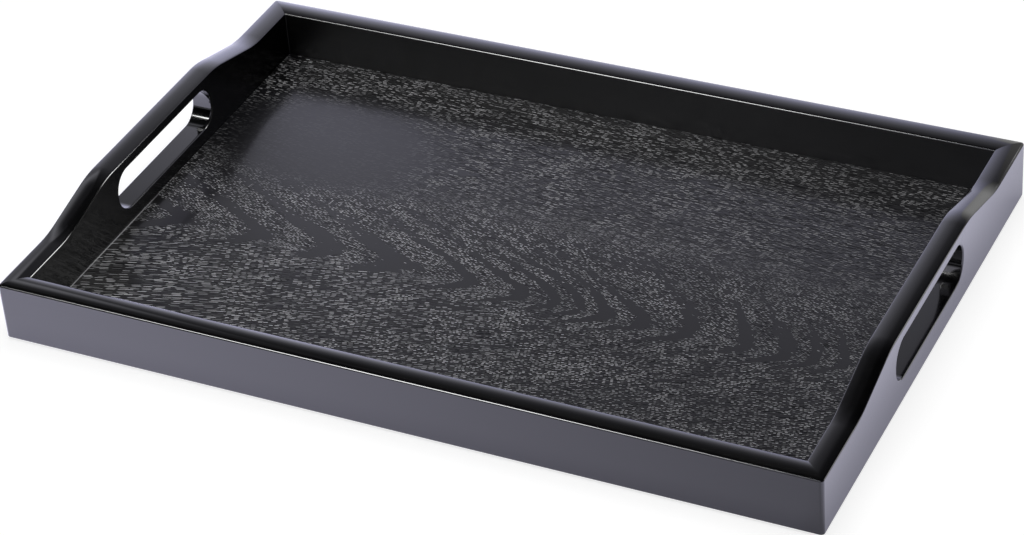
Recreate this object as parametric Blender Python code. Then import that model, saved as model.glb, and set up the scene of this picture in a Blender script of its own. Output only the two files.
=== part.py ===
"""Black lacquered wooden serving tray, modelled as the pieces it is joined from.

Four crowned boards are mitred into a frame around a veneered base panel. The
two end boards rise to a crest over a grip slot. Loose tenons hold the mitres,
brads hold the base in a rabbet under the boards, and four pads stand below.

Metres, +Z up, +X to the right along the length, the front rail at -Y. The
origin is the centre of the footprint on the surface that the pads stand on.
"""

import math

import bmesh
import bpy
from mathutils import Matrix, Vector

# Outside of the frame
TRAY_LENGTH = 0.450
TRAY_WIDTH = 0.300
WALL_THICKNESS = 0.0127
RAIL_HEIGHT = 0.032
CORNER_RADIUS = 0.0025

# Rim: a shallow crown between two small rounded arrises
RIM_CROWN = 0.0015
RIM_ARRIS_RADIUS = 0.0009
BOTTOM_EDGE_RADIUS = 0.0008

# End boards: a level crest, then an ogee of two arcs down to the rail height
CREST_RISE = 0.011
CREST_LENGTH = 0.102
OGEE_LENGTH = 0.058

# Grip slot, its top edge measured down from the crest's arris, its ends nearly half round
SLOT_LENGTH = 0.100
SLOT_HEIGHT = 0.024
SLOT_ROUND_SHARE = 0.93
SLOT_EDGE_RADIUS = 0.001
GRIP_BAR_HEIGHT = 0.0055

# Base panel, laid into a rabbet from below
RABBET_WIDTH = 0.006
BASE_RECESS = 0.0007
BACKING_THICKNESS = 0.0005
CORE_THICKNESS = 0.003
VENEER_THICKNESS = 0.0006

# Loose tenon across each mitre
TENON_THICKNESS = 0.003
TENON_HEIGHT = 0.015
TENON_LENGTH = 0.010
TENON_ROUND_SHARE = 0.9
TENON_PLACE_SHARE = 0.6

# Brads through the base panel into the boards
BRAD_SHANK_RADIUS = 0.0006
BRAD_HEAD_RADIUS = 0.0011
BRAD_TIP_RADIUS = 0.0002
BRAD_TIP_LENGTH = 0.0016
BRAD_GRIP = 0.005
RAIL_BRAD_SHARES = (-0.84, -0.28, 0.28, 0.84)
END_BRAD_SHARES = (-0.72, 0.0, 0.72)

# Pads under the base
FOOT_RADIUS = 0.006
FOOT_STANDOFF = 0.0015
FOOT_EDGE_RADIUS = 0.0005
FOOT_INSET = 0.020

# Clearances
FIT_GAP = 0.0003
CUT_OVERRUN = 0.001

# Facets
ARC_STEPS = 6
CORNER_STEPS = 3
EDGE_STEPS = 2
CROWN_STEPS = 6
SLOT_ARC_STEPS = 6
BRAD_SIDES = 8
FOOT_SIDES = 24
SHARP_ANGLE = math.radians(40)

# Worked out from the sizes above, heights from the underside of the boards
BACKING_TOP = BASE_RECESS + BACKING_THICKNESS
CORE_BOTTOM = BACKING_TOP + FIT_GAP
CORE_TOP = CORE_BOTTOM + CORE_THICKNESS
VENEER_BOTTOM = CORE_TOP + FIT_GAP
VENEER_TOP = VENEER_BOTTOM + VENEER_THICKNESS
RABBET_DEPTH = VENEER_TOP + FIT_GAP
CREST_HEIGHT = RAIL_HEIGHT + CREST_RISE
SLOT_TOP = CREST_HEIGHT - GRIP_BAR_HEIGHT
SLOT_CORNER_RADIUS = SLOT_HEIGHT / 2 * SLOT_ROUND_SHARE
BRAD_TIP = RABBET_DEPTH + BRAD_GRIP

INNER_HALF_LENGTH = TRAY_LENGTH / 2 - WALL_THICKNESS
INNER_HALF_WIDTH = TRAY_WIDTH / 2 - WALL_THICKNESS

CORNERS = (
    ("front_left", -1, -1),
    ("front_right", 1, -1),
    ("rear_left", -1, 1),
    ("rear_right", 1, 1),
)


def clear_scene():
    for leftover in list(bpy.data.objects):
        bpy.data.objects.remove(leftover, do_unlink=True)


def make_material(name, colour, roughness, metallic=0.0, coat=0.0):
    material = bpy.data.materials.new(name)
    material.use_nodes = True
    shader = material.node_tree.nodes["Principled BSDF"]
    shader.inputs["Base Color"].default_value = (*colour, 1.0)
    shader.inputs["Roughness"].default_value = roughness
    shader.inputs["Metallic"].default_value = metallic
    shader.inputs["Coat Weight"].default_value = coat
    material.diffuse_color = (*colour, 1.0)
    return material


def link_object(name, mesh):
    thing = bpy.data.objects.new(name, mesh)
    bpy.context.scene.collection.objects.link(thing)
    return thing


def loft_mesh(name, bodies):
    """One mesh with a closed body for each list of rings, capped at both ends."""
    bm = bmesh.new()
    for rings in bodies:
        loops = [[bm.verts.new(point) for point in ring] for ring in rings]
        for low, high in zip(loops, loops[1:]):
            for i in range(len(low)):
                j = (i + 1) % len(low)
                bm.faces.new((low[i], low[j], high[j], high[i]))
        bm.faces.new(reversed(loops[0]))
        bm.faces.new(loops[-1])
    bmesh.ops.recalc_face_normals(bm, faces=bm.faces[:])
    mesh = bpy.data.meshes.new(name)
    bm.to_mesh(mesh)
    bm.free()
    return mesh


def solid_mesh(name, rings, material):
    mesh = loft_mesh(name, [rings])
    mesh.materials.append(material)
    mesh.shade_smooth()
    mesh.set_sharp_from_angle(angle=SHARP_ANGLE)
    return mesh


def make_cutter(name, bodies):
    cutter = link_object(name, loft_mesh(name, bodies))
    cutter.hide_render = True
    cutter.display_type = "WIRE"
    return cutter


def cut(target, cutter):
    modifier = target.modifiers.new(cutter.name, "BOOLEAN")
    modifier.operation = "DIFFERENCE"
    modifier.solver = "EXACT"
    modifier.object = cutter


def arc_angles(start, end, steps):
    return [start + (end - start) * i / steps for i in range(steps + 1)]


# Boards of the frame

def wall_section():
    """Ring of a board's section as (distance in from the outer face, height, rides the crest)."""
    edge_slope = math.atan(4 * RIM_CROWN / WALL_THICKNESS)
    drop = RIM_ARRIS_RADIUS * math.tan((math.pi / 2 - edge_slope) / 2)
    centre_height = RAIL_HEIGHT - drop
    arris = arc_angles(math.pi, math.pi / 2 + edge_slope, EDGE_STEPS)

    ring = [(WALL_THICKNESS - RABBET_WIDTH, 0.0, False)]
    for angle in arc_angles(1.5 * math.pi, math.pi, EDGE_STEPS):
        across = BOTTOM_EDGE_RADIUS * (1 + math.cos(angle))
        ring.append((across, BOTTOM_EDGE_RADIUS * (1 + math.sin(angle)), False))
    for angle in arris:
        across = RIM_ARRIS_RADIUS * (1 + math.cos(angle))
        ring.append((across, centre_height + RIM_ARRIS_RADIUS * math.sin(angle), True))
    first = ring[-1][0]
    for i in range(1, CROWN_STEPS):
        across = first + (WALL_THICKNESS - 2 * first) * i / CROWN_STEPS
        off_centre = 2 * across / WALL_THICKNESS - 1
        ring.append((across, RAIL_HEIGHT + RIM_CROWN * (1 - off_centre ** 2), True))
    for angle in reversed(arris):
        across = WALL_THICKNESS - RIM_ARRIS_RADIUS * (1 + math.cos(angle))
        ring.append((across, centre_height + RIM_ARRIS_RADIUS * math.sin(angle), True))
    ring.append((WALL_THICKNESS, RABBET_DEPTH, False))
    ring.append((WALL_THICKNESS - RABBET_WIDTH, RABBET_DEPTH, False))
    return ring


def mitred_end(half_length):
    """Stations from just before the mitre to its face, turning the outer corner round."""
    start = half_length - WALL_THICKNESS - CORNER_RADIUS
    pull_back = FIT_GAP / 2 * math.sqrt(2)
    outer_end = half_length - CORNER_RADIUS * (1 - math.sin(math.pi / 4))
    section = wall_section()
    rings = []
    for angle in arc_angles(0.0, math.pi / 4, CORNER_STEPS):
        outer_place = half_length - CORNER_RADIUS * (1 - math.sin(angle))
        fraction = (outer_place - start) / (outer_end - start)
        sink = CORNER_RADIUS * (1 - math.cos(angle))
        ring = []
        for across, height, _ in section:
            across += sink * max(0.0, 1 - across / CORNER_RADIUS)
            face = half_length - across - pull_back
            ring.append((start + (face - start) * fraction, across, height))
        rings.append(ring)
    return [[(start, across, height) for across, height, _ in section]] + rings


def crest_stations():
    """Places along half of an end board and how far its rim stands above the rail height there."""
    radius = (OGEE_LENGTH ** 2 + CREST_RISE ** 2) / (4 * CREST_RISE)
    sweep = math.asin(OGEE_LENGTH / 2 / radius)
    crest_end = CREST_LENGTH / 2
    stations = []
    for angle in arc_angles(0.0, sweep, ARC_STEPS):
        stations.append((crest_end + radius * math.sin(angle), CREST_RISE - radius * (1 - math.cos(angle))))
    for angle in arc_angles(sweep, 0.0, ARC_STEPS)[1:]:
        along = crest_end + OGEE_LENGTH - radius * math.sin(angle)
        stations.append((along, radius * (1 - math.cos(angle))))
    return stations


def board_rings(half_length, stations):
    """Rings of a whole board in its own frame: along, in from the outer face, up."""
    section = wall_section()
    half = []
    for along, rise in stations:
        half.append([(along, across, height + rise * lifted) for across, height, lifted in section])
    half += mitred_end(half_length)
    mirrored = [[(-along, across, height) for along, across, height in ring] for ring in reversed(half)]
    return mirrored + half


def make_board(name, half_length, stations, place, turn, material):
    board = link_object(name, solid_mesh(name, board_rings(half_length, stations), material))
    board.location = (*place, FOOT_STANDOFF)
    board.rotation_euler = (0.0, 0.0, turn)
    return board


# Grip slots

def rounded_outline(length, height, radius, steps):
    """Points of a rectangle with round corners, centred on the origin."""
    points = []
    for quarter, (side, level) in enumerate(((1, 1), (-1, 1), (-1, -1), (1, -1))):
        start = quarter * math.pi / 2
        for angle in arc_angles(start, start + math.pi / 2, steps):
            x = side * (length / 2 - radius) + radius * math.cos(angle)
            y = level * (height / 2 - radius) + radius * math.sin(angle)
            points.append((x, y))
    return points


def slot_cutter(name, side):
    """Cutter whose mouths flare, so that both edges of the slot come out round."""
    flare = []
    for angle in arc_angles(0.0, math.pi / 2, EDGE_STEPS + 1):
        flare.append((SLOT_EDGE_RADIUS * (1 - math.cos(angle)), SLOT_EDGE_RADIUS * (1 - math.sin(angle))))
    near = [(-CUT_OVERRUN, SLOT_EDGE_RADIUS)] + flare
    far = [(WALL_THICKNESS - depth, offset) for depth, offset in reversed(near)]
    centre = FOOT_STANDOFF + SLOT_TOP - SLOT_HEIGHT / 2
    rings = []
    for depth, offset in near + far:
        outline = rounded_outline(
            SLOT_LENGTH + 2 * offset, SLOT_HEIGHT + 2 * offset, SLOT_CORNER_RADIUS + offset, SLOT_ARC_STEPS
        )
        x = side * (TRAY_LENGTH / 2 - depth)
        rings.append([(x, along, centre + up) for along, up in outline])
    return make_cutter(name, [rings])


# Loose tenons

def tenon_rings(clearance):
    """Flat bar with round edges, lying along X, its height along Z."""
    radius = TENON_THICKNESS / 2 * TENON_ROUND_SHARE + clearance
    outline = rounded_outline(
        TENON_THICKNESS + 2 * clearance, TENON_HEIGHT + 2 * clearance, radius, EDGE_STEPS
    )
    reach = TENON_LENGTH / 2 + clearance
    return [[(x, y, z) for y, z in outline] for x in (-reach, reach)]


def tenon_matrix(side, end):
    """Place on the mitre's diagonal, the tenon lying square to the mitre face."""
    inward = WALL_THICKNESS * TENON_PLACE_SHARE
    middle = (RABBET_DEPTH + RAIL_HEIGHT) / 2 + FOOT_STANDOFF
    place = Vector((side * (TRAY_LENGTH / 2 - inward), end * (TRAY_WIDTH / 2 - inward), middle))
    turn = -side * end * math.pi / 4
    return Matrix.Translation(place) @ Matrix.Rotation(turn, 4, "Z")


# Brads

def brad_places():
    """Name and place of each brad, over the middle of the rabbet's ledge."""
    rail_y = INNER_HALF_WIDTH + RABBET_WIDTH / 2
    end_x = INNER_HALF_LENGTH + RABBET_WIDTH / 2
    places = []
    for label, side in (("front", -1), ("rear", 1)):
        for number, share in enumerate(RAIL_BRAD_SHARES, 1):
            places.append((f"base_brad_{label}_{number}", share * INNER_HALF_LENGTH, side * rail_y))
    for label, side in (("left", -1), ("right", 1)):
        for number, share in enumerate(END_BRAD_SHARES, 1):
            places.append((f"base_brad_{label}_{number}", side * end_x, share * INNER_HALF_WIDTH))
    return places


def circle(x, y, z, radius, sides):
    turns = [2 * math.pi * i / sides for i in range(sides)]
    return [(x + radius * math.cos(turn), y + radius * math.sin(turn), z) for turn in turns]


def brad_rings(x, y, clearance, overrun):
    """A brad with its head flush under the backing, or the hole that clears it."""
    shoulder = BRAD_TIP - BRAD_TIP_LENGTH
    head_top = BACKING_TOP + clearance / 2
    steps = (
        (BASE_RECESS - overrun, BRAD_HEAD_RADIUS),
        (head_top, BRAD_HEAD_RADIUS),
        (head_top, BRAD_SHANK_RADIUS),
        (shoulder + clearance, BRAD_SHANK_RADIUS),
        (BRAD_TIP + clearance, BRAD_TIP_RADIUS),
    )
    return [circle(x, y, FOOT_STANDOFF + z, radius + clearance, BRAD_SIDES) for z, radius in steps]


# Base panel

def ply_ring(beyond_wall, height):
    """Rectangle that reaches this far beyond the inner faces of the boards, less the clearance."""
    half_x = INNER_HALF_LENGTH + beyond_wall - FIT_GAP
    half_y = INNER_HALF_WIDTH + beyond_wall - FIT_GAP
    z = FOOT_STANDOFF + height
    return [(-half_x, -half_y, z), (half_x, -half_y, z), (half_x, half_y, z), (-half_x, half_y, z)]


def make_ply(name, bottom, top, material):
    """One ply of the base; a line round its top marks where the boards' inner faces land."""
    rings = [ply_ring(RABBET_WIDTH, bottom), ply_ring(RABBET_WIDTH, top), ply_ring(0.0, top)]
    return link_object(name, solid_mesh(name, rings, material))


# Pads

def make_foot(name, side, end, material):
    top = FOOT_STANDOFF + BASE_RECESS - FIT_GAP
    profile = []
    for angle in arc_angles(1.5 * math.pi, 2 * math.pi, EDGE_STEPS):
        radius = FOOT_RADIUS - FOOT_EDGE_RADIUS * (1 - math.cos(angle))
        profile.append((FOOT_EDGE_RADIUS * (1 + math.sin(angle)), radius))
    profile.append((top, FOOT_RADIUS))
    rings = [circle(0.0, 0.0, z, radius, FOOT_SIDES) for z, radius in profile]
    foot = link_object(name, solid_mesh(name, rings, material))
    foot.location = (side * (INNER_HALF_LENGTH - FOOT_INSET), end * (INNER_HALF_WIDTH - FOOT_INSET), 0.0)
    return foot


def build_tray():
    clear_scene()
    lacquer = make_material("black_lacquer", (0.012, 0.012, 0.014), 0.22, coat=0.5)
    grained = make_material("black_grained_veneer", (0.018, 0.018, 0.019), 0.38)
    fibreboard = make_material("fibreboard", (0.33, 0.22, 0.13), 0.85)
    beech = make_material("beech", (0.52, 0.34, 0.19), 0.7)
    steel = make_material("steel", (0.56, 0.56, 0.55), 0.35, metallic=1.0)
    rubber = make_material("black_rubber", (0.02, 0.02, 0.02), 0.8)

    holes = [brad_rings(x, y, FIT_GAP, CUT_OVERRUN) for _, x, y in brad_places()]
    brad_holes = make_cutter("brad_hole_cutter", holes)

    half_x = TRAY_LENGTH / 2
    half_y = TRAY_WIDTH / 2
    crest = crest_stations()
    boards = [
        make_board("front_rail", half_x, [], (0.0, -half_y), 0.0, lacquer),
        make_board("rear_rail", half_x, [], (0.0, half_y), math.pi, lacquer),
        make_board("left_end_board", half_y, crest, (-half_x, 0.0), -math.pi / 2, lacquer),
        make_board("right_end_board", half_y, crest, (half_x, 0.0), math.pi / 2, lacquer),
    ]
    for board in boards:
        cut(board, brad_holes)
    front, rear, left, right = boards
    cut(left, slot_cutter("left_slot_cutter", -1))
    cut(right, slot_cutter("right_slot_cutter", 1))

    for label, side, end in CORNERS:
        name = "corner_tenon_" + label
        tenon = link_object(name, solid_mesh(name, tenon_rings(0.0), beech))
        mortise = make_cutter(label + "_mortise_cutter", [tenon_rings(FIT_GAP)])
        tenon.matrix_world = mortise.matrix_world = tenon_matrix(side, end)
        cut(front if end < 0 else rear, mortise)
        cut(left if side < 0 else right, mortise)
        make_foot("foot_" + label, side, end, rubber)

    plies = [
        make_ply("backing_veneer", BASE_RECESS, BACKING_TOP, grained),
        make_ply("base_core", CORE_BOTTOM, CORE_TOP, fibreboard),
        make_ply("floor_veneer", VENEER_BOTTOM, VENEER_TOP, grained),
    ]
    for ply in plies:
        cut(ply, brad_holes)

    brad = solid_mesh("base_brad", brad_rings(0.0, 0.0, 0.0, 0.0), steel)
    for name, x, y in brad_places():
        link_object(name, brad).location = (x, y, 0.0)


build_tray()
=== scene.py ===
import math

import bmesh
import bpy
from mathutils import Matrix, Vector


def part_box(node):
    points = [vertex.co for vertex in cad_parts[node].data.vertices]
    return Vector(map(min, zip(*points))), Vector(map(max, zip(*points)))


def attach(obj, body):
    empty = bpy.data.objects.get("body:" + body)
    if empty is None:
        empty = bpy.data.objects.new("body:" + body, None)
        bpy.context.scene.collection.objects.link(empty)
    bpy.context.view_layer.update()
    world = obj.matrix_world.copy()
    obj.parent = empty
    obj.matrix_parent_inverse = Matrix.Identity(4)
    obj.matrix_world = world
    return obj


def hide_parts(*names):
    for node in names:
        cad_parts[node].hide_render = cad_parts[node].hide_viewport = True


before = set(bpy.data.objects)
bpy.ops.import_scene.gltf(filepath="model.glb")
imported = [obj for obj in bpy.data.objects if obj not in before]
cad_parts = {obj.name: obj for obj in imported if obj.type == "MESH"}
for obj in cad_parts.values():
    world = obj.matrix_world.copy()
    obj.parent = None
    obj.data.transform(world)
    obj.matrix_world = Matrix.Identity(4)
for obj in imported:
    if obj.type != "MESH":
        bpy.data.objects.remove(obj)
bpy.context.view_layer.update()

# Camera
# A long lens, 1.7 m in front of the tray and a little to its right, looking 35 degrees down
# and tipped sideways by a few degrees, as the photograph was taken.
camera_data = bpy.data.cameras.new("tray_camera")
camera_data.sensor_width = 36.0
camera_data.lens = 113.55
camera_data.clip_start = 0.05
camera_data.clip_end = 50.0
camera = bpy.data.objects.new("tray_camera", camera_data)
camera.location = (0.63944, -1.22559, 0.98248)
camera.rotation_euler = (math.radians(54.500), math.radians(3.7353), math.radians(25.1125))
bpy.context.scene.collection.objects.link(camera)
bpy.context.scene.camera = camera

# The four boards
# Each is 12.7 mm hardwood, moulded to a crowned rim, rabbeted below for the base and mitred.
# They are glued at the corners round loose tenons, sanded flush and sprayed black as one frame.
rail_low, rail_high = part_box("front_rail")
crest_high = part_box("right_end_board")[1]
tray_half_length = crest_high.x
tray_half_width = -rail_low.y
board_thickness = rail_high.y - rail_low.y
board_bottom = rail_low.z
rim_crown = 0.0013
rim_arris = rail_high.z - rim_crown
crest_rise = crest_high.z - rail_high.z
ledge_clearance = 0.00002
ledge_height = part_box("floor_veneer")[1].z + ledge_clearance
rabbet_width = 0.006
corner_radius = 0.0021
corner_segments = 8

# Points within a hair of a plane count as on it.
hair = 0.00001


def pick_piece(piece):
    bpy.ops.object.select_all(action="DESELECT")
    piece.select_set(True)
    bpy.context.view_layer.objects.active = piece


def choose_faces(test):
    bpy.ops.mesh.select_mode(type="FACE")
    bpy.ops.mesh.select_all(action="DESELECT")
    shape = bmesh.from_edit_mesh(bpy.context.object.data)
    for face in shape.faces:
        face.select_set(test(face.calc_center_median(), face.normal))
    bmesh.update_edit_mesh(bpy.context.object.data)


def choose_edges(test):
    bpy.ops.mesh.select_mode(type="EDGE")
    bpy.ops.mesh.select_all(action="DESELECT")
    shape = bmesh.from_edit_mesh(bpy.context.object.data)
    for edge in shape.edges:
        edge.select_set(test(edge.verts[0].co, edge.verts[1].co))
    bmesh.update_edit_mesh(bpy.context.object.data)


def choose_points(test):
    bpy.ops.mesh.select_mode(type="VERT")
    bpy.ops.mesh.select_all(action="DESELECT")
    shape = bmesh.from_edit_mesh(bpy.context.object.data)
    for point in shape.verts:
        point.select_set(test(point.co))
    bmesh.update_edit_mesh(bpy.context.object.data)


def upright(a, b):
    return abs(a.z - b.z) > 0.01


def smooth_piece(piece, angle):
    pick_piece(piece)
    bpy.ops.object.shade_smooth_by_angle(angle=math.radians(angle))
    bpy.ops.object.modifier_add(type="WEIGHTED_NORMAL")
    piece.modifiers[-1].keep_sharp = True
    bpy.ops.object.modifier_apply(modifier=piece.modifiers[-1].name)


# The frame starts as a block with rounded upright corners, and its top is stepped in along the
# crown of the rim. The steps meet in a crease at each corner, which is the line of the mitre.
bpy.ops.object.select_all(action="DESELECT")
bpy.ops.mesh.primitive_cube_add(
    size=1.0,
    location=(0.0, 0.0, (board_bottom + rim_arris) / 2),
    scale=(2 * tray_half_length, 2 * tray_half_width, rim_arris - board_bottom),
)
boards = bpy.context.object
boards.name = "boards"
bpy.ops.object.transform_apply(location=True, rotation=True, scale=True)
bpy.ops.object.mode_set(mode="EDIT")
choose_edges(upright)
bpy.ops.mesh.bevel(offset=corner_radius, segments=corner_segments, affect="EDGES")


def crown_height(inwards):
    across = 2 * inwards / board_thickness - 1
    return rim_arris + rim_crown * (1 - across * across)


def merge_corners(facing):
    choose_edges(lambda a, b: (a - b).length < 0.0002)
    bpy.ops.mesh.merge(type="COLLAPSE")
    choose_faces(lambda centre, normal: centre.xy.length < 0.001 and normal.z * facing > 0.9)


# The steps are distances in from the outer face. The third takes in the whole round of the
# corners, so there the short edges of each round are merged to one point.
corner_centre = corner_radius * math.cos(math.radians(90 / (2 * corner_segments)))
crown_steps = [0.0, 0.0012, corner_centre, 0.0037, 0.0050, board_thickness / 2, 0.0077, 0.0090]
crown_steps += [0.0103, 0.0115, board_thickness]
choose_faces(lambda centre, normal: normal.z > 0.9)
for before, after in zip(crown_steps, crown_steps[1:]):
    bpy.ops.mesh.inset(
        thickness=after - before, depth=crown_height(after) - crown_height(before)
    )
    if after == corner_centre:
        merge_corners(1)

# The well is sunk from above and the rabbet from below, and both meet at the ledge.
bpy.ops.mesh.extrude_region_move(
    TRANSFORM_OT_translate={"value": (0.0, 0.0, ledge_height - rim_arris)}
)
choose_faces(lambda centre, normal: normal.z < -0.9 and centre.z < board_bottom + 0.0001)
bpy.ops.mesh.inset(thickness=corner_centre, depth=0.0)
merge_corners(-1)
bpy.ops.mesh.inset(thickness=board_thickness - rabbet_width - corner_centre, depth=0.0)
bpy.ops.mesh.extrude_region_move(
    TRANSFORM_OT_translate={"value": (0.0, 0.0, ledge_height - board_bottom)}
)
bpy.ops.mesh.inset(thickness=rabbet_width, depth=0.0)
choose_faces(lambda centre, normal: abs(centre.x) + abs(centre.y) < 0.001)
bpy.ops.mesh.delete(type="FACE")
bpy.ops.mesh.select_all(action="SELECT")
bpy.ops.mesh.remove_doubles(threshold=0.0001)
bpy.ops.mesh.normals_make_consistent(inside=False)

# The arrises are eased by sanding before the lacquer, the upper ones more than the lower.
rim_easing = 0.0007
foot_easing = 0.0004
ledge_easing = 0.00012
well_x = tray_half_length - board_thickness
well_y = tray_half_width - board_thickness


def on_rim_arris(a):
    return abs(a.z - rim_arris) < hair


def in_well_wall(a):
    return abs(a.x) < well_x + 0.0001 and abs(a.y) < well_y + 0.0001


def on_outline(a):
    return max(abs(a.x) - well_x, abs(a.y) - well_y) > board_thickness - corner_radius / 2


choose_edges(
    lambda a, b: on_rim_arris(a) and on_rim_arris(b) and not in_well_wall(a) and not in_well_wall(b)
)
bpy.ops.mesh.bevel(offset=rim_easing, segments=4, affect="EDGES")
choose_edges(
    lambda a, b: in_well_wall(a)
    and in_well_wall(b)
    and ((on_rim_arris(a) and on_rim_arris(b)) or upright(a, b))
)
bpy.ops.mesh.bevel(offset=rim_easing, segments=4, affect="EDGES")
choose_edges(
    lambda a, b: max(a.z, b.z) < board_bottom + hair and on_outline(a) and on_outline(b)
)
bpy.ops.mesh.bevel(offset=foot_easing, segments=2, affect="EDGES")
choose_edges(
    lambda a, b: in_well_wall(a)
    and in_well_wall(b)
    and abs(a.z - ledge_height) < hair
    and abs(b.z - ledge_height) < hair
)
bpy.ops.mesh.bevel(offset=ledge_easing, segments=2, affect="EDGES")

# The end boards are sawn to an ogee that lifts their middle over the grip. The frame is cut
# across at close stations, and the rim is raised at each along two equal arcs and the straight
# slope that joins them.
crest_half_flat = 0.051
ogee_length = 0.058
ogee_radius = 0.060
ogee_straight = math.sqrt(ogee_length**2 + crest_rise**2 - 4 * ogee_radius * crest_rise)
ogee_angle = math.asin(
    (2 * ogee_radius * ogee_length - ogee_straight * (2 * ogee_radius - crest_rise))
    / (4 * ogee_radius**2 + ogee_straight**2)
)
ogee_bend = ogee_radius * math.sin(ogee_angle)


def ogee_rise(run):
    left = ogee_length - run
    if run < ogee_bend:
        return ogee_radius - math.sqrt(ogee_radius**2 - run**2)
    if left < ogee_bend:
        return crest_rise - ogee_radius + math.sqrt(ogee_radius**2 - left**2)
    return ogee_radius * (1 - math.cos(ogee_angle)) + (run - ogee_bend) * math.tan(ogee_angle)


ogee_stations = 26
raised = 0.0
for station in range(ogee_stations + 1):
    run = ogee_length * station / ogee_stations
    place = crest_half_flat + ogee_length - run
    for side in (-1, 1):
        bpy.ops.mesh.select_mode(type="FACE")
        bpy.ops.mesh.select_all(action="SELECT")
        bpy.ops.mesh.bisect(plane_co=(0.0, side * place, 0.0), plane_no=(0.0, 1.0, 0.0))
    choose_points(lambda p: abs(abs(p.y) - place) < 0.000002 and p.z > rim_arris - 0.003)
    bpy.ops.transform.translate(value=(0.0, 0.0, ogee_rise(run) - raised))
    raised = ogee_rise(run)
bpy.ops.object.mode_set(mode="OBJECT")

# The grip slots are routed through the end boards, nearly half round at their ends, and their
# mouths are eased to 1 mm. The cutter flares at both mouths by that quarter round and runs on
# a little past the faces.
slot_half_length = 0.050
slot_bottom = 0.0150
slot_top = 0.0390
slot_corner = 0.01116
slot_easing = 0.0010
slot_overrun = 0.0004
flare_steps = 5
slot_middle = (slot_bottom + slot_top) / 2
slot_half_height = (slot_top - slot_bottom) / 2
bpy.ops.object.select_all(action="DESELECT")
bpy.ops.mesh.primitive_cube_add(
    size=1.0,
    location=(tray_half_length - board_thickness / 2, 0.0, slot_middle),
    scale=(board_thickness - 2 * slot_easing, 2 * slot_half_length, 2 * slot_half_height),
)
slot_cutter = bpy.context.object
bpy.ops.object.transform_apply(location=True, rotation=True, scale=True)
bpy.ops.object.mode_set(mode="EDIT")
choose_edges(lambda a, b: abs(a.x - b.x) > 0.005)
bpy.ops.mesh.bevel(offset=slot_corner, segments=16, affect="EDGES")
for side in (-1, 1):
    choose_faces(lambda centre, normal: side * normal.x > 0.9)
    flare_before = 0.0
    reach_before = 0.0
    for step in range(1, flare_steps + 2):
        turn = min(step, flare_steps) * math.pi / (2 * flare_steps)
        reach = slot_easing * math.sin(turn) + (slot_overrun if step > flare_steps else 0.0)
        flare = slot_easing * (1 - math.cos(turn))
        bpy.ops.mesh.extrude_region_move(
            TRANSFORM_OT_translate={"value": (side * (reach - reach_before), 0.0, 0.0)}
        )
        bpy.ops.transform.resize(
            value=(
                1.0,
                (slot_half_length + flare) / (slot_half_length + flare_before),
                (slot_half_height + flare) / (slot_half_height + flare_before),
            ),
            center_override=(tray_half_length, 0.0, slot_middle),
        )
        flare_before = flare
        reach_before = reach
bpy.ops.mesh.select_all(action="SELECT")
bpy.ops.mesh.normals_make_consistent(inside=False)
bpy.ops.object.mode_set(mode="OBJECT")
for side in (1, -1):
    slot_cutter.location.x = 0.0 if side > 0 else -2 * (tray_half_length - board_thickness / 2)
    pick_piece(boards)
    bpy.ops.object.modifier_add(type="BOOLEAN")
    boards.modifiers[-1].operation = "DIFFERENCE"
    boards.modifiers[-1].solver = "EXACT"
    boards.modifiers[-1].object = slot_cutter
    bpy.ops.object.modifier_apply(modifier=boards.modifiers[-1].name)
bpy.data.objects.remove(slot_cutter)


# The lacquer is sprayed in thin coats over black stain. It is smooth and semi-gloss, with a
# faint orange peel, the grain of the board just felt under it, and soft wear at the arrises.
# The walls of the well get less of it than the rim and the outside, and stay more satin.
def add_node(tree, kind, settings, sockets):
    node = tree.nodes.new(kind)
    for name, value in settings.items():
        setattr(node, name, value)
    for name, value in sockets.items():
        if isinstance(value, bpy.types.NodeSocket):
            tree.links.new(value, node.inputs[name])
        else:
            node.inputs[name].default_value = value
    return node


def spread(tree, value, low, high, to_low, to_high, way="SMOOTHSTEP"):
    sockets = {"Value": value, "From Min": low, "From Max": high}
    sockets["To Min"] = to_low
    sockets["To Max"] = to_high
    settings = {"interpolation_type": way}
    return add_node(tree, "ShaderNodeMapRange", settings, sockets).outputs["Result"]


def blend_colours(tree, amount, first, second):
    settings = {"data_type": "RGBA"}
    node = add_node(tree, "ShaderNodeMix", settings, {0: amount})
    for index, colour in ((6, first), (7, second)):
        if isinstance(colour, bpy.types.NodeSocket):
            tree.links.new(colour, node.inputs[index])
        else:
            node.inputs[index].default_value = (*colour, 1.0)
    return node.outputs[2]


def sums(tree, operation, first, second):
    settings = {"operation": operation}
    return add_node(tree, "ShaderNodeMath", settings, {0: first, 1: second}).outputs[0]


def stretch(tree, place, scale):
    sockets = {"Vector": place, "Scale": scale}
    return add_node(tree, "ShaderNodeMapping", {}, sockets).outputs[0]


def noise(tree, place, scale, detail):
    sockets = {"Vector": place, "Scale": scale, "Detail": detail}
    return add_node(tree, "ShaderNodeTexNoise", {}, sockets).outputs[0]


def bump(tree, height, strength, distance):
    sockets = {"Strength": strength, "Distance": distance, "Height": height}
    return add_node(tree, "ShaderNodeBump", {}, sockets).outputs[0]


def new_finish(name):
    finish = bpy.data.materials.new(name)
    finish.use_nodes = True
    tree = finish.node_tree
    tree.nodes.clear()
    surface = tree.nodes.new("ShaderNodeBsdfPrincipled")
    output = tree.nodes.new("ShaderNodeOutputMaterial")
    tree.links.new(surface.outputs[0], output.inputs["Surface"])
    place = tree.nodes.new("ShaderNodeTexCoord").outputs["Object"]
    return finish, tree, surface, place


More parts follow.
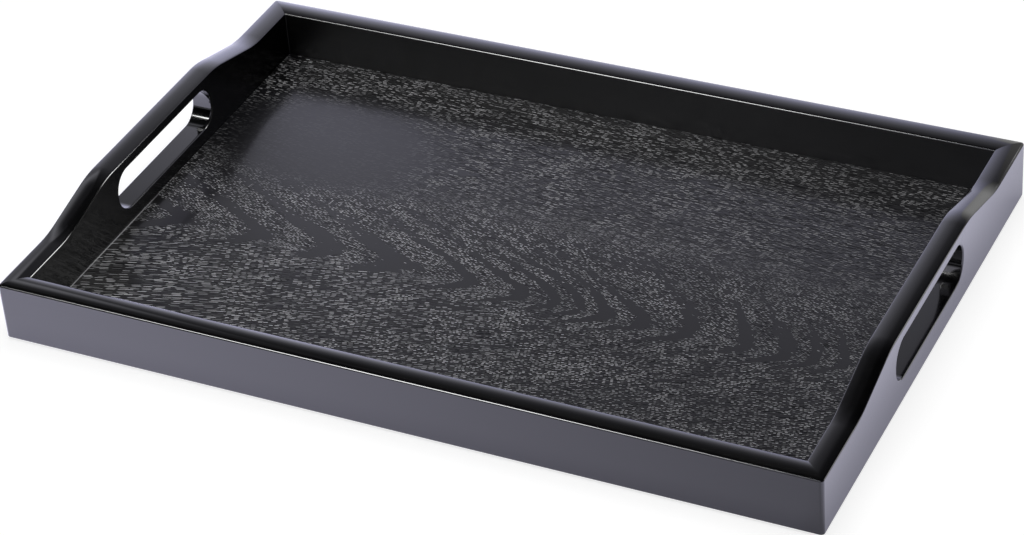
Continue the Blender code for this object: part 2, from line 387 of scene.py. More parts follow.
def black_lacquer(name, grain_scale, inner_sheen, inner_haze):
    finish, tree, surface, place = new_finish(name)
    grain = noise(tree, stretch(tree, place, grain_scale), 1.0, 3.0)
    peel = noise(tree, place, 380.0, 1.0)
    smears = add_node(
        tree,
        "ShaderNodeTexNoise",
        {},
        {"Vector": place, "Scale": 14.0, "Detail": 5.0, "Distortion": 0.8},
    ).outputs[0]
    edge = tree.nodes.new("ShaderNodeNewGeometry").outputs["Pointiness"]
    worn = sums(tree, "MULTIPLY", spread(tree, edge, 0.53, 0.62, 0.0, 1.0), smears)
    stain = spread(tree, grain, 0.35, 0.70, 0.0, 1.0)
    colour = blend_colours(tree, stain, (0.0010, 0.0010, 0.0012), (0.0022, 0.0021, 0.0023))
    colour = blend_colours(tree, worn, colour, (0.020, 0.019, 0.019))
    dulled = sums(tree, "MULTIPLY", worn, 0.1)
    gloss = sums(tree, "ADD", spread(tree, smears, 0.3, 0.7, 0.10, 0.17), dulled)
    sides = add_node(tree, "ShaderNodeSeparateXYZ", {}, {0: place})
    out_x = sums(tree, "ABSOLUTE", sides.outputs[0], 0.0)
    out_y = sums(tree, "ABSOLUTE", sides.outputs[1], 0.0)
    inset_x = sums(tree, "SUBTRACT", tray_half_length, out_x)
    inset_y = sums(tree, "SUBTRACT", tray_half_width, out_y)
    inset = sums(tree, "MINIMUM", inset_x, inset_y)
    satin = spread(tree, inset, board_thickness - 0.0003, board_thickness - 0.0001, 0.0, 1.0)
    gloss = sums(tree, "ADD", gloss, sums(tree, "MULTIPLY", satin, inner_haze))
    coat_gloss = spread(tree, satin, 0.0, 1.0, 0.05, 0.05 + inner_haze)
    grain_relief = bump(tree, grain, 0.25, 0.00002)
    relief = add_node(
        tree,
        "ShaderNodeBump",
        {},
        {"Strength": 0.3, "Distance": 0.00001, "Height": peel, "Normal": grain_relief},
    ).outputs[0]
    tree.links.new(colour, surface.inputs["Base Color"])
    tree.links.new(gloss, surface.inputs["Roughness"])
    tree.links.new(relief, surface.inputs["Normal"])
    tree.links.new(relief, surface.inputs["Coat Normal"])
    tree.links.new(coat_gloss, surface.inputs["Coat Roughness"])
    sheen = spread(tree, satin, 0.0, 1.0, 1.0, inner_sheen)
    tree.links.new(sheen, surface.inputs["Coat Weight"])
    tree.links.new(sums(tree, "MULTIPLY", sheen, 0.5), surface.inputs["Specular IOR Level"])
    surface.inputs["IOR"].default_value = 1.5
    surface.inputs["Coat IOR"].default_value = 1.5
    return finish


rail_lacquer = black_lacquer("black_lacquer_rails", (14.0, 520.0, 520.0), 0.9, 0.20)
end_lacquer = black_lacquer("black_lacquer_ends", (520.0, 14.0, 520.0), 0.12, 0.02)

# The frame is parted at the mitres into its four boards. The planes stand just clear of each
# other, and each cut is closed by the mitre face.
mitre_gap = 0.00001
mitres = {
    "front_rail": ((-1, -1, 1, -1), (1, -1, -1, -1)),
    "rear_rail": ((-1, 1, 1, 1), (1, 1, -1, 1)),
    "left_end_board": ((-1, -1, -1, 1), (-1, 1, -1, -1)),
    "right_end_board": ((1, -1, 1, 1), (1, 1, 1, -1)),
}
for board_name, cuts in mitres.items():
    pick_piece(boards)
    bpy.ops.object.duplicate()
    board = bpy.context.object
    board.name = "lacquered_" + board_name
    bpy.ops.object.mode_set(mode="EDIT")
    for corner_x, corner_y, keep_x, keep_y in cuts:
        keep = Vector((keep_x, keep_y, 0.0)).normalized()
        corner = Vector((corner_x * tray_half_length, corner_y * tray_half_width, 0.0))
        bpy.ops.mesh.select_all(action="SELECT")
        bpy.ops.mesh.bisect(
            plane_co=corner + keep * mitre_gap,
            plane_no=keep,
            use_fill=True,
            clear_inner=True,
            threshold=0.000001,
        )
    bpy.ops.object.mode_set(mode="OBJECT")
    smooth_piece(board, 30)
    board.data.materials.append(rail_lacquer if "rail" in board_name else end_lacquer)
    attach(board, "root")
    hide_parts(board_name)
bpy.data.objects.remove(boards)

# The floor veneer
# A 0.6 mm leaf of plain sliced ash, stained black and thinly lacquered, with its pores open.
# Its growth rings run out in nested arches along a spine, a little in front of the middle.
veneer_low, veneer_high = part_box("floor_veneer")
veneer_size = veneer_high - veneer_low
veneer_step = 0.002
spine_front = 31
bpy.ops.object.select_all(action="DESELECT")
bpy.ops.mesh.primitive_grid_add(
    x_subdivisions=round(veneer_size.x / veneer_step),
    y_subdivisions=round(veneer_size.y / veneer_step),
    size=1.0,
    location=(0.0, 0.0, veneer_high.z),
)
veneer = bpy.context.object
veneer.name = "floor_veneer_leaf"
bpy.ops.transform.resize(value=(veneer_size.x, veneer_size.y, 1.0))
bpy.ops.object.transform_apply(location=True, rotation=True, scale=True)
bpy.ops.object.mode_set(mode="EDIT")
bpy.ops.mesh.select_all(action="SELECT")
bpy.ops.mesh.region_to_loop()
bpy.ops.mesh.extrude_edges_move(TRANSFORM_OT_translate={"value": (0.0, 0.0, -veneer_size.z)})
bpy.ops.mesh.edge_face_add()
bpy.ops.mesh.select_all(action="SELECT")
bpy.ops.mesh.normals_make_consistent(inside=False)
bpy.ops.object.mode_set(mode="OBJECT")

# Along the spine, in millimetres from the tray's middle, smooth late wood runs from the first
# to the second of each pair, and open-pored early wood from there to the next pair. After the
# listed pairs, 34 more carry the rings out along the arms.
late_wood = [-245, -231, -197, -182, -149, -133, -107, -86, -68, -48, -21, -11, 8, 18, 30, 38]
late_wood += [46, 55, 62, 71, 79, 87, 101, 112, 133, 142, 152, 164, 172, 180]
for ring in range(34):
    late_wood.append(late_wood[-1] + 9 + 3 * math.sin(1.9 * ring))
    late_wood.append(late_wood[-1] + 7 + 2 * math.sin(2.7 * ring))


def ease(value, low, high):
    share = min(max((value - low) / (high - low), 0.0), 1.0)
    return share * share * (3 - 2 * share)


def behind_spine(x, y):
    return y + spine_front + 2.5 * math.sin(x / 60)


def ring_count(x, y):
    across = behind_spine(x, y)
    if across < 0:
        slope = 3.3
        roundness = 30.0
    else:
        reach = x + 0.8 * across
        slope = 2.1 - 0.85 * ease(reach, 72, 112)
        roundness = 8 + 20 * ease(reach, -10, 60)
    along = x + math.hypot(slope * across, roundness) - roundness
    along += 0.02 * max(0.0, across - 50) ** 2
    along += 2.2 * math.sin(x / 23 + y / 31) + 1.4 * math.sin(x / 11 - y / 17 + 1)
    ring = 0
    while ring < len(late_wood) - 2 and late_wood[ring + 1] <= along:
        ring += 1
    start, stop = late_wood[ring], late_wood[ring + 1]
    return (ring + (along - start) / (stop - start)) / 2


def write_figure(name, rule):
    figure = veneer.data.attributes.new(name, "FLOAT", "POINT")
    for point, mark in zip(veneer.data.vertices, figure.data):
        mark.value = rule(1000 * point.co.x, 1000 * point.co.y)


# The late wood fills half of each ring at the spine and thins out along the arms, sooner on
# the front side than on the back one.
def late_width(x, y):
    across = behind_spine(x, y)
    if across < 0:
        return 0.5 - 0.46 * ease(-across, 5, 18)
    keep = 0.33 - 0.24 * ease(x, 112, 150) - 0.24 * ease(across, 40, 95)
    return 0.5 - (0.5 - max(keep, 0.06)) * ease(across, 8, 36)


write_figure("rings", ring_count)
write_figure("late_width", late_width)


def flat_noise(tree, place, scale, detail):
    sockets = {"Vector": place, "Scale": scale, "Detail": detail}
    settings = {"noise_dimensions": "2D"}
    return add_node(tree, "ShaderNodeTexNoise", settings, sockets).outputs[0]


def blend_values(tree, amount, first, second):
    sockets = {0: amount, 2: first, 3: second}
    return add_node(tree, "ShaderNodeMix", {"data_type": "FLOAT"}, sockets).outputs[0]


def from_centre(tree, place, centre, reach):
    settings = {"vector_type": "TEXTURE"}
    sockets = {"Vector": place, "Location": centre, "Scale": reach}
    moved = add_node(tree, "ShaderNodeMapping", settings, sockets).outputs[0]
    settings = {"operation": "LENGTH"}
    return add_node(tree, "ShaderNodeVectorMath", settings, {0: moved}).outputs["Value"]


# Each pore is a short open groove along the grain. One flank is painted near white as a painted
# glint. The coat and most of the shine are left off the other, where the lacquer does not bridge
# the groove, so that it reads as painted shade. They crowd in the early wood and are few in the
# late wood near the spine. Their turn is in degrees, and their length and width in millimetres.
def pore_grooves(tree, place, turn, crowding, length, width):
    turned = add_node(
        tree,
        "ShaderNodeMapping",
        {"vector_type": "TEXTURE"},
        {
            "Vector": place,
            "Rotation": (0.0, 0.0, math.radians(turn)),
            "Scale": (length / 1000, width / 1000, 1.0),
        },
    ).outputs[0]
    cells = add_node(
        tree,
        "ShaderNodeTexVoronoi",
        {"voronoi_dimensions": "2D"},
        {"Vector": turned, "Scale": 1.0, "Randomness": 0.7},
    )
    offset = add_node(
        tree,
        "ShaderNodeVectorMath",
        {"operation": "SUBTRACT"},
        {0: turned, 1: cells.outputs["Position"]},
    ).outputs[0]
    offset = add_node(tree, "ShaderNodeSeparateXYZ", {}, {0: offset})
    dice = add_node(tree, "ShaderNodeSeparateColor", {}, {0: cells.outputs["Color"]})
    rows = flat_noise(tree, stretch(tree, turned, (0.07, 0.30, 1.0)), 1.0, 2.0)
    crowding = sums(tree, "MULTIPLY", crowding, spread(tree, rows, 0.36, 0.56, 0.55, 1.15))
    kept = sums(tree, "LESS_THAN", dice.outputs[0], crowding)
    reach = sums(tree, "ABSOLUTE", offset.outputs[0], 0.0)
    kept = sums(tree, "MULTIPLY", kept, spread(tree, reach, 0.28, 0.46, 1.0, 0.0))
    # The first flank below becomes the painted glint, painted near white into the veneer's colour.
    # The second becomes painted shade, where the coat is left off.
    flank = sums(tree, "ABSOLUTE", sums(tree, "ADD", offset.outputs[1], 0.10), 0.0)
    painted_glint_and_card_glow = sums(tree, "MULTIPLY", kept, spread(tree, flank, 0.10, 0.21, 1.0, 0.0))
    painted_glint_and_card_glow = sums(tree, "MULTIPLY", painted_glint_and_card_glow, spread(tree, dice.outputs[1], 0.1, 1.0, 0.08, 1.0))
    flank = sums(tree, "ABSOLUTE", sums(tree, "SUBTRACT", offset.outputs[1], 0.30), 0.0)
    shade = sums(tree, "MULTIPLY", kept, spread(tree, flank, 0.10, 0.24, 1.0, 0.0))
    seam = sums(tree, "ABSOLUTE", sums(tree, "SUBTRACT", rows, 0.44), 0.0)
    seam = sums(tree, "MULTIPLY", spread(tree, seam, 0.014, 0.035, 0.85, 0.0), crowding)
    return painted_glint_and_card_glow, sums(tree, "MAXIMUM", shade, seam)


def blend_pores(tree, amount, first, second):
    painted_glint_and_card_glow = blend_values(tree, amount, first[0], second[0])
    return painted_glint_and_card_glow, blend_values(tree, amount, first[1], second[1])


# The rings waver as they are drawn, and the pores follow them. One quiet patch at the back on
# the left has almost none.
def black_veneer(name):
    finish, tree, surface, place = new_finish(name)
    count = add_node(tree, "ShaderNodeAttribute", {"attribute_name": "rings"}, {}).outputs["Fac"]
    waver = flat_noise(tree, stretch(tree, place, (60.0, 260.0, 1.0)), 1.0, 3.0)
    count = sums(tree, "ADD", count, spread(tree, waver, 0.2, 0.8, -0.09, 0.09))
    share = sums(tree, "FRACT", count, 0.0)
    width = add_node(tree, "ShaderNodeAttribute", {"attribute_name": "late_width"}, {})
    begun = sums(tree, "ADD", sums(tree, "SUBTRACT", share, 0.5), width.outputs["Fac"])
    late = sums(
        tree,
        "MULTIPLY",
        spread(tree, begun, 0.0, 0.06, 0.0, 1.0),
        spread(tree, share, 0.47, 0.53, 1.0, 0.0),
    )
    sides = add_node(tree, "ShaderNodeSeparateXYZ", {}, {0: place})
    lengthways = sides.outputs[0]
    side = sides.outputs[1]
    off_spine = sums(tree, "ABSOLUTE", sums(tree, "ADD", side, spine_front / 1000), 0.0)
    strays = spread(tree, off_spine, 0.010, 0.060, 0.02, 0.5)
    crowding = sums(tree, "SUBTRACT", 1.0, late)
    crowding = sums(tree, "MAXIMUM", crowding, strays)
    quiet = from_centre(tree, place, (-0.150, 0.062, 0.0), (0.075, 0.048, 1.0))
    left_corner = from_centre(tree, place, (-0.205, -0.115, 0.0), (0.11, 0.060, 1.0))
    glints = flat_noise(tree, place, 45.0, 2.0)
    patch = spread(tree, glints, 0.2, 0.8, -0.5, 0.5)
    left_corner = sums(tree, "ADD", left_corner, sums(tree, "MULTIPLY", patch, 0.8))
    left_part = sums(tree, "ADD", lengthways, sums(tree, "MULTIPLY", patch, 0.15))

    # In front of the spine the pores are dots on the right, dashes on the left and long streaks
    # in the left corner. On the spine they are dots again, and behind it dashes.
    front_dots = pore_grooves(tree, place, 15, crowding, 1.8, 1.1)
    front_dashes = pore_grooves(tree, place, 15, crowding, 3.2, 1.1)
    streaks = pore_grooves(tree, place, 16, crowding, 6.5, 1.1)
    spine_dots = pore_grooves(tree, place, -8, crowding, 1.8, 1.05)
    rear_dashes = pore_grooves(tree, place, -2, crowding, 3.2, 1.15)
    dashed = spread(tree, left_part, -0.015, -0.005, 1.0, 0.0)
    streaked = spread(tree, left_corner, 0.90, 0.96, 1.0, 0.0)
    from_spine = spread(tree, side, -0.042, -0.030, 0.0, 1.0)
    to_rear = spread(tree, side, 0.015, 0.050, 0.0, 1.0)
    pores = blend_pores(tree, dashed, front_dots, front_dashes)
    pores = blend_pores(tree, streaked, pores, streaks)
    pores = blend_pores(tree, from_spine, pores, spine_dots)
    painted_glint_and_card_glow, shade = blend_pores(tree, to_rear, pores, rear_dashes)

    # The painted glints come in patches. They are painted dimmer towards the right and the back as
    # painted light falling off, and a little brighter again near the back wall.
    painted_glint_and_card_glow = sums(tree, "MULTIPLY", painted_glint_and_card_glow, spread(tree, glints, 0.35, 0.65, 0.55, 1.0))
    painted_glint_and_card_glow = sums(tree, "MULTIPLY", painted_glint_and_card_glow, spread(tree, lengthways, -0.02, 0.17, 1.0, 0.60))
    noisy = spread(tree, quiet, 0.6, 1.3, 0.06, 1.0)
    painted_glint_and_card_glow = sums(tree, "MULTIPLY", painted_glint_and_card_glow, noisy)
    shade = sums(tree, "MULTIPLY", shade, noisy)
    # Painted light: the glints are painted dimmer towards the back, and a little brighter again in
    # a strip along the back wall.
    depth = spread(tree, side, 0.005, 0.045, 0.95, 0.68)
    depth = sums(tree, "MAXIMUM", depth, spread(tree, side, 0.098, 0.108, 0.0, 0.75))
    painted_glint_and_card_glow = sums(tree, "MULTIPLY", painted_glint_and_card_glow, depth)

    # A thin bright line is painted along the foot of the left board, as a painted glint in the
    # joint there.
    painted_joint_glint = sums(tree, "ABSOLUTE", sums(tree, "ADD", lengthways, 0.2117), 0.0)
    painted_joint_glint = spread(tree, painted_joint_glint, 0.0002, 0.0004, 0.5, 0.0)
    painted_joint_glint = sums(tree, "MULTIPLY", painted_joint_glint, spread(tree, side, -0.050, 0.010, 1.0, 0.0))
    painted_glint_and_card_glow = sums(tree, "MAXIMUM", painted_glint_and_card_glow, painted_joint_glint)
    fibre = flat_noise(tree, stretch(tree, place, (60.0, 2400.0, 1.0)), 1.0, 2.0)
    wood = blend_colours(tree, late, (0.0030, 0.0030, 0.0033), (0.0050, 0.0048, 0.0050))
    dark_share = spread(tree, fibre, 0.3, 0.7, 0.0, 0.5)
    wood = blend_colours(tree, dark_share, wood, (0.0020, 0.0020, 0.0022))
    # The painted glints of the pores and of the joint go into the colour here as near white. From
    # here on, wood holds painted highlights as well as the grain.
    wood = blend_colours(tree, painted_glint_and_card_glow, wood, (0.92, 0.92, 0.94))
    gloss = blend_values(tree, late, 0.36, 0.32)
    groove = sums(tree, "MAXIMUM", painted_glint_and_card_glow, shade)
    height = sums(tree, "SUBTRACT", sums(tree, "MULTIPLY", fibre, 0.12), groove)
    relief = bump(tree, height, 0.6, 0.0001)
    open_share = sums(tree, "SUBTRACT", 1.0, sums(tree, "MULTIPLY", shade, 0.9))
    tree.links.new(wood, surface.inputs["Base Color"])
    tree.links.new(gloss, surface.inputs["Roughness"])
    tree.links.new(relief, surface.inputs["Normal"])
    tree.links.new(relief, surface.inputs["Coat Normal"])
    tree.links.new(sums(tree, "MULTIPLY", open_share, 0.69), surface.inputs["Coat Weight"])
    tree.links.new(sums(tree, "MULTIPLY", open_share, 0.345), surface.inputs["Specular IOR Level"])
    surface.inputs["IOR"].default_value = 1.5
    surface.inputs["Coat Roughness"].default_value = 0.12
    surface.inputs["Coat IOR"].default_value = 1.5
    return finish


veneer_finish = black_veneer("black_ash_veneer")
veneer.data.materials.append(veneer_finish)
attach(veneer, "root")
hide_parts("floor_veneer")

# The backing veneer
# A plain leaf of the same stained wood under the core, which keeps the base from cupping. It
# is glued on, and its grain runs straight along the tray with no figure.
backing_finish, tree, surface, place = new_finish("black_backing_veneer")
streaks = noise(tree, stretch(tree, place, (12.0, 700.0, 1.0)), 1.0, 4.0)
backing_colour = blend_colours(
    tree, spread(tree, streaks, 0.35, 0.65, 0.0, 1.0), (0.010, 0.010, 0.010), (0.022, 0.021, 0.020)
)
backing_relief = bump(tree, streaks, 0.8, 0.00005)
tree.links.new(backing_colour, surface.inputs["Base Color"])
tree.links.new(spread(tree, streaks, 0.3, 0.7, 0.62, 0.48), surface.inputs["Roughness"])
tree.links.new(backing_relief, surface.inputs["Normal"])
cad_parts["backing_veneer"].material_slots[0].material = backing_finish

# The core
# Raw medium-density fibreboard, 3 mm thick, pressed from fine wood fibre. It shows only at
# its edges inside the rabbet.
core_finish, tree, surface, place = new_finish("fibreboard")
fibres = noise(tree, place, 900.0, 4.0)
clumps = noise(tree, place, 60.0, 3.0)
core_colour = blend_colours(
    tree, spread(tree, fibres, 0.3, 0.7, 0.0, 1.0), (0.27, 0.18, 0.105), (0.38, 0.26, 0.16)
)
core_colour = blend_colours(
    tree, spread(tree, clumps, 0.4, 0.7, 0.0, 0.4), core_colour, (0.22, 0.14, 0.08)
)
core_relief = bump(tree, fibres, 0.5, 0.0001)
tree.links.new(core_colour, surface.inputs["Base Color"])
tree.links.new(spread(tree, fibres, 0.3, 0.7, 0.95, 0.8), surface.inputs["Roughness"])
tree.links.new(core_relief, surface.inputs["Normal"])
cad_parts["base_core"].material_slots[0].material = core_finish

# The corner tenons
# Loose tenons of planed beech, glued into mortises across the mitres. They are hidden once
# the frame is glued up.
beech_finish, tree, surface, place = new_finish("planed_beech")
beech_grain = noise(tree, stretch(tree, place, (400.0, 400.0, 60.0)), 1.0, 4.0)
beech_colour = blend_colours(
    tree, spread(tree, beech_grain, 0.35, 0.65, 0.0, 1.0), (0.46, 0.29, 0.16), (0.58, 0.40, 0.24)
)
beech_relief = bump(tree, beech_grain, 0.4, 0.00008)
tree.links.new(beech_colour, surface.inputs["Base Color"])
tree.links.new(spread(tree, beech_grain, 0.3, 0.7, 0.62, 0.75), surface.inputs["Roughness"])
tree.links.new(beech_relief, surface.inputs["Normal"])
for node_name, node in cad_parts.items():
    if node_name.startswith("corner_tenon"):
        node.material_slots[0].material = beech_finish

# The brads
# Bright drawn steel pins driven up through the base into the boards, four along each rail and
# three along each end board. They hold the base in its rabbet.
brad_finish, tree, surface, place = new_finish("drawn_steel")
draw_marks = noise(tree, stretch(tree, place, (6000.0, 6000.0, 300.0)), 1.0, 3.0)
tarnish = noise(tree, place, 900.0, 3.0)
brad_colour = blend_colours(
    tree, spread(tree, tarnish, 0.4, 0.7, 0.0, 1.0), (0.58, 0.58, 0.57), (0.40, 0.38, 0.35)
)
brad_relief = bump(tree, draw_marks, 0.4, 0.00002)
tree.links.new(brad_colour, surface.inputs["Base Color"])
tree.links.new(spread(tree, draw_marks, 0.3, 0.7, 0.28, 0.42), surface.inputs["Roughness"])
tree.links.new(brad_relief, surface.inputs["Normal"])
surface.inputs["Metallic"].default_value = 1.0
for node_name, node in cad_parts.items():
    if node_name.startswith("base_brad"):
        node.material_slots[0].material = brad_finish

# The pads
# Four round pads of moulded black rubber, 12 mm across, stuck under the base near its corners.
# Their edges are rounded, and a shallow dish in each keeps it from sliding.
pad_low, pad_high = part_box("foot_front_left")
pad_centre = (pad_low + pad_high) / 2
pad_radius = (pad_high.x - pad_low.x) / 2
pad_height = pad_high.z - pad_low.z
pad_rim = 0.0016
pad_lip = 0.0005
pad_slope = 0.0015
lip_depth = 0.0002
slope_depth = 0.0001
pad_easing = 0.0006
bpy.ops.object.select_all(action="DESELECT")
bpy.ops.mesh.primitive_cylinder_add(
    vertices=64, radius=pad_radius, depth=pad_height, location=pad_centre
)
pad = bpy.context.object
bpy.ops.object.transform_apply(location=True, rotation=True, scale=True)
bpy.ops.object.mode_set(mode="EDIT")
choose_faces(lambda centre, normal: normal.z < -0.9)
bpy.ops.mesh.inset(thickness=pad_rim, depth=0.0)
bpy.ops.mesh.inset(thickness=pad_lip, depth=-lip_depth)
bpy.ops.mesh.inset(thickness=pad_slope, depth=-slope_depth)
choose_edges(
    lambda a, b: max(a.z, b.z) < pad_low.z + hair
    and (a - pad_centre).xy.length > pad_radius - 0.0001
    and (b - pad_centre).xy.length > pad_radius - 0.0001
)
bpy.ops.mesh.bevel(offset=pad_easing, segments=4, affect="EDGES")
bpy.ops.object.mode_set(mode="OBJECT")
smooth_piece(pad, 40)
pad_finish, tree, surface, place = new_finish("black_rubber")
pad_grain = noise(tree, place, 2600.0, 2.0)
pad_bloom = noise(tree, place, 250.0, 4.0)
pad_colour = blend_colours(
    tree, spread(tree, pad_bloom, 0.4, 0.75, 0.0, 1.0), (0.017, 0.017, 0.017), (0.034, 0.033, 0.032)
)
pad_relief = bump(tree, pad_grain, 0.5, 0.00004)
tree.links.new(pad_colour, surface.inputs["Base Color"])
tree.links.new(spread(tree, pad_bloom, 0.3, 0.7, 0.62, 0.8), surface.inputs["Roughness"])
tree.links.new(pad_relief, surface.inputs["Normal"])
pad.data.materials.append(pad_finish)
for corner in ("front_left", "front_right", "rear_left", "rear_right"):
    corner_low, corner_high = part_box("foot_" + corner)
    pick_piece(pad)
    bpy.ops.object.duplicate()
    corner_pad = bpy.context.object
    corner_pad.name = "rubber_pad_" + corner
    corner_pad.location = (corner_low + corner_high) / 2 - pad_centre
    bpy.ops.object.transform_apply(location=True, rotation=True, scale=True)
    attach(corner_pad, "root")
    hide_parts("foot_" + corner)
bpy.data.objects.remove(pad)

# The studio
# A pale sweep under one wide soft lamp. What the tray mirrors of it is a painted pool of light that
# falls off from left to right, with painted shade along the tray's right end, and it is deepened
# too where the tray really shades it.
bpy.ops.object.select_all(action="DESELECT")
bpy.ops.mesh.primitive_plane_add(size=12.0, location=(0.0, 0.0, 0.0))
sweep = bpy.context.object
sweep.name = "studio_floor"


def new_stage_finish(piece, name):
    finish = bpy.data.materials.new(name)
    finish.use_nodes = True
    piece.data.materials.append(finish)
    tree = finish.node_tree
    tree.nodes.clear()
    place = tree.nodes.new("ShaderNodeTexCoord").outputs["Object"]
    parts = add_node(tree, "ShaderNodeSeparateXYZ", {}, {0: place}).outputs
    return tree, tree.nodes.new("ShaderNodeOutputMaterial").inputs["Surface"], parts


tree, surface, parts = new_stage_finish(sweep, "pale_sweep")
paper = add_node(tree, "ShaderNodeBsdfDiffuse", {}, {"Color": (0.8, 0.8, 0.8, 1.0)})
faint = add_node(tree, "ShaderNodeBsdfDiffuse", {}, {"Color": (0.36, 0.36, 0.36, 1.0)})
white = add_node(tree, "ShaderNodeEmission", {}, {"Color": (1.0, 1.0, 1.0, 1.0), "Strength": 0.78})
seen = add_node(tree, "ShaderNodeAddShader", {}, {0: faint.outputs[0], 1: white.outputs[0]})
# Painted light: the mirrored sweep is painted brightest on the left and dims to the right. It is
# painted darker just at the tray's right end and lighter again further out.
painted_light_falloff = spread(tree, parts[0], -0.40, 0.40, 1.28, 0.24)
painted_light_falloff = sums(tree, "MULTIPLY", painted_light_falloff, spread(tree, parts[0], 0.205, 0.222, 1.0, 0.75))
painted_light_falloff = sums(tree, "ADD", painted_light_falloff, spread(tree, parts[0], 0.224, 0.262, 0.0, 0.42))
pale = add_node(
    tree, "ShaderNodeEmission", {}, {"Color": (0.98, 0.96, 1.24, 1.0), "Strength": painted_light_falloff}
)
deep = add_node(tree, "ShaderNodeBsdfDiffuse", {}, {"Color": (0.50, 0.50, 0.56, 1.0)})
mirrored = add_node(tree, "ShaderNodeAddShader", {}, {0: deep.outputs[0], 1: pale.outputs[0]})
rays = tree.nodes.new("ShaderNodeLightPath")
seen_by_camera = add_node(
    tree,
    "ShaderNodeMixShader",
    {},
    {0: rays.outputs["Is Camera Ray"], 1: paper.outputs[0], 2: seen.outputs[0]},
)
in_gloss = sums(tree, "MAXIMUM", rays.outputs["Is Glossy Ray"], rays.outputs["Is Transmission Ray"])
mixed = add_node(
    tree,
    "ShaderNodeMixShader",
    {},
    {0: in_gloss, 1: seen_by_camera.outputs[0], 2: mirrored.outputs[0]},
)
tree.links.new(mixed.outputs[0], surface)


# Two cards stand round the tray. They are seen only in its lacquer and shade nothing.
def standing_card(name, centre, width, height):
    bpy.ops.object.select_all(action="DESELECT")
    bpy.ops.mesh.primitive_plane_add(
        size=1.0, location=centre, rotation=(math.radians(90), 0.0, 0.0)
    )
    card = bpy.context.object
    card.name = name
    bpy.ops.transform.resize(value=(width, 1.0, height))
    bpy.ops.object.transform_apply(location=True, rotation=True, scale=True)
    card.visible_camera = False
    card.visible_diffuse = False
    card.visible_transmission = False
    card.visible_shadow = False
    return new_stage_finish(card, name)


def levels(tree, value, steps):
    node = add_node(tree, "ShaderNodeValToRGB", {}, {0: value})
    ramp = node.color_ramp
    while len(ramp.elements) < len(steps):
        ramp.elements.new(0.5)
    for element, (position, level, blue) in zip(ramp.elements, steps):
        element.position = position
        element.color = (level, level, blue, 1.0)
    return node.outputs[0]


def mix_colours(tree, kind, first, second):
    settings = {"data_type": "RGBA", "blend_type": kind}
    return add_node(tree, "ShaderNodeMix", settings, {0: 1.0, 6: first, 7: second}).outputs[2]


# The first stands behind the tray. It is bright at the foot and fades upwards and to its ends.
tree, surface, parts = standing_card("reflection_card", (-0.20, 0.30, 0.60), 1.9, 1.2)
upwards = levels(
    tree,
    parts[2],
    [
        (0.036, 0.31, 0.40),
        (0.080, 0.285, 0.385),
        (0.106, 0.28, 0.37),
        (0.138, 0.25, 0.315),
        (0.176, 0.215, 0.258),
        (0.226, 0.158, 0.182),
        (0.280, 0.126, 0.144),
        (0.310, 0.104, 0.117),
        (0.360, 0.076, 0.086),
        (0.420, 0.052, 0.059),
        (0.576, 0.028, 0.032),
        (0.770, 0.020, 0.022),
        (1.000, 0.012, 0.013),
    ],
)
sideways = levels(
    tree,
    spread(tree, parts[0], -0.70, 0.50, 0.0, 1.0, "LINEAR"),
    [
        (0.0, 0.55, 0.55),
        (0.12, 0.90, 0.90),
        (0.25, 1.25, 1.25),
        (0.34, 1.60, 1.60),
        (0.45, 1.12, 1.12),
        (0.547, 1.06, 1.06),
        (0.64, 1.0, 1.0),
        (0.69, 0.83, 0.83),
        (0.727, 0.60, 0.60),
        (0.763, 0.33, 0.33),
        (0.80, 0.22, 0.22),
        (0.86, 0.15, 0.15),
        (1.0, 0.06, 0.06),
    ],
)
middle = mix_colours(tree, "MULTIPLY", upwards, sideways)
left_pane = levels(
    tree,
    parts[2],
    [
        (0.05, 0.11, 0.124),
        (0.10, 0.11, 0.124),
        (0.33, 0.12, 0.134),
        (0.46, 0.30, 0.33),
        (0.75, 0.09, 0.10),
        (0.95, 0.03, 0.034),
    ],
)
left_share = spread(tree, parts[0], -0.56, -0.46, 1.0, 0.0)
left_pane = mix_colours(tree, "MULTIPLY", left_pane, left_share)
glow = mix_colours(tree, "LIGHTEN", middle, left_pane)

# Two strips at its foot on the right are what the right end board mirrors.
strip_start = spread(tree, parts[0], 0.08, 0.22, 0.0, 1.0)
strip_end = spread(tree, parts[0], 0.28, 0.42, 1.0, 0.0)
strip_height = spread(tree, parts[2], 0.08, 0.22, 0.30, 0.0)
low_strip = sums(tree, "MULTIPLY", strip_start, sums(tree, "MULTIPLY", strip_end, strip_height))
right_start = spread(tree, parts[0], 0.40, 0.44, 0.0, 1.0)
right_height = spread(tree, parts[2], 0.22, 0.27, 0.6, 0.0)
right_strip = sums(tree, "MULTIPLY", right_start, right_height)
glow = mix_colours(tree, "LIGHTEN", glow, sums(tree, "MAXIMUM", low_strip, right_strip))
painted_glint_and_card_glow = add_node(tree, "ShaderNodeEmission", {}, {"Color": glow, "Strength": 2.5})
tree.links.new(painted_glint_and_card_glow.outputs[0], surface)

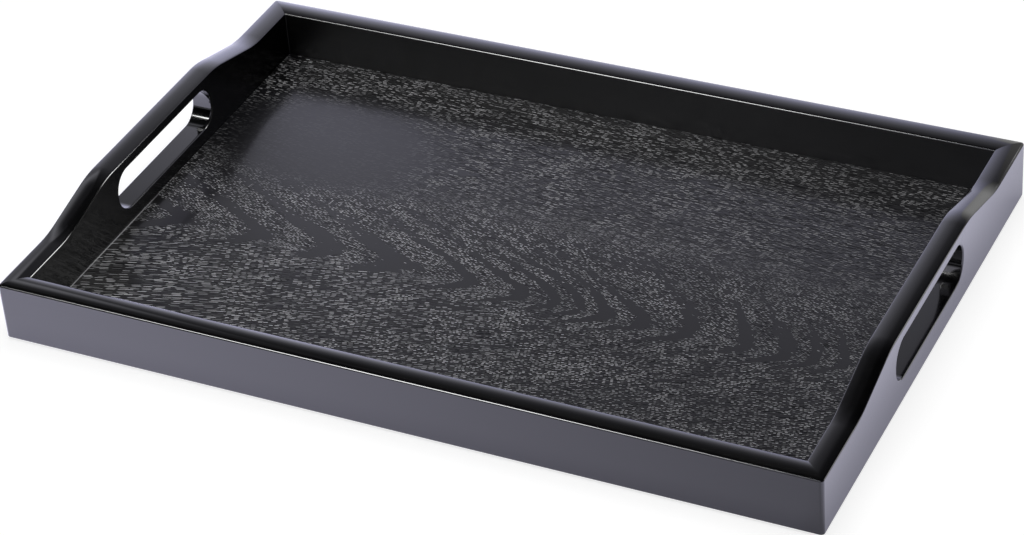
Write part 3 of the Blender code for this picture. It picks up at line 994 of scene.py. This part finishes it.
# The second stands in front on the left, where the inside of the back rail mirrors it.
tree, surface, parts = standing_card("front_card", (-0.10, -1.00, 0.90), 1.6, 1.4)
share_start = spread(tree, parts[0], -0.70, -0.48, 0.0, 1.1)
share_height = spread(tree, parts[2], 0.30, 0.60, 0.0, 1.0)
share_end = spread(tree, parts[0], 0.30, 0.60, 1.0, 0.0)
share = sums(tree, "MULTIPLY", share_start, sums(tree, "MULTIPLY", share_height, share_end))
pale = {"Color": (0.97, 0.96, 1.10, 1.0), "Strength": share}
tree.links.new(add_node(tree, "ShaderNodeEmission", {}, pale).outputs[0], surface)

# The room is dark above, with a grey glow along the horizon.
world = bpy.data.worlds.new("studio")
bpy.context.scene.world = world
world.use_nodes = True
tree = world.node_tree
tree.nodes.clear()
direction = tree.nodes.new("ShaderNodeTexCoord").outputs["Generated"]
height = add_node(tree, "ShaderNodeSeparateXYZ", {}, {0: direction}).outputs[2]
glow = spread(tree, height, 0.0, 0.34, 0.40, 0.02)
sky = add_node(tree, "ShaderNodeBackground", {}, {0: (0.96, 0.96, 1.06, 1.0), 1: glow})
output = tree.nodes.new("ShaderNodeOutputWorld")
tree.links.new(sky.outputs[0], output.inputs["Surface"])


def soft_lamp(name, place, size, power):
    lamp_data = bpy.data.lights.new(name, "AREA")
    lamp_data.shape = "RECTANGLE"
    lamp_data.size = size[0]
    lamp_data.size_y = size[1]
    lamp_data.energy = power
    lamp = bpy.data.objects.new(name, lamp_data)
    lamp.location = place
    lamp.rotation_euler = Vector(place).to_track_quat("Z", "Y").to_euler()
    bpy.context.scene.collection.objects.link(lamp)
    return lamp


# The window lamp only draws the highlights on the arrises, and the small side one only those of
# the left board's inner arris. The overhead one lights the tray.
window = soft_lamp("window", (-0.61, -0.67, 1.31), (0.6, 0.6), 17.0)
window.visible_diffuse = False
side_window = soft_lamp("side_window", (0.12, 0.28, 0.24), (0.26, 0.30), 0.36)
side_window.rotation_euler = Vector((0.33, 0.36, 0.20)).to_track_quat("Z", "Y").to_euler()
side_window.data.spread = math.radians(60)
side_window.visible_diffuse = False
side_window.visible_camera = False
overhead = soft_lamp("overhead", (0.0, 0.0, 2.4), (2.0, 2.0), 46.0)
overhead.visible_glossy = False

bpy.context.scene.view_settings.view_transform = "Standard"
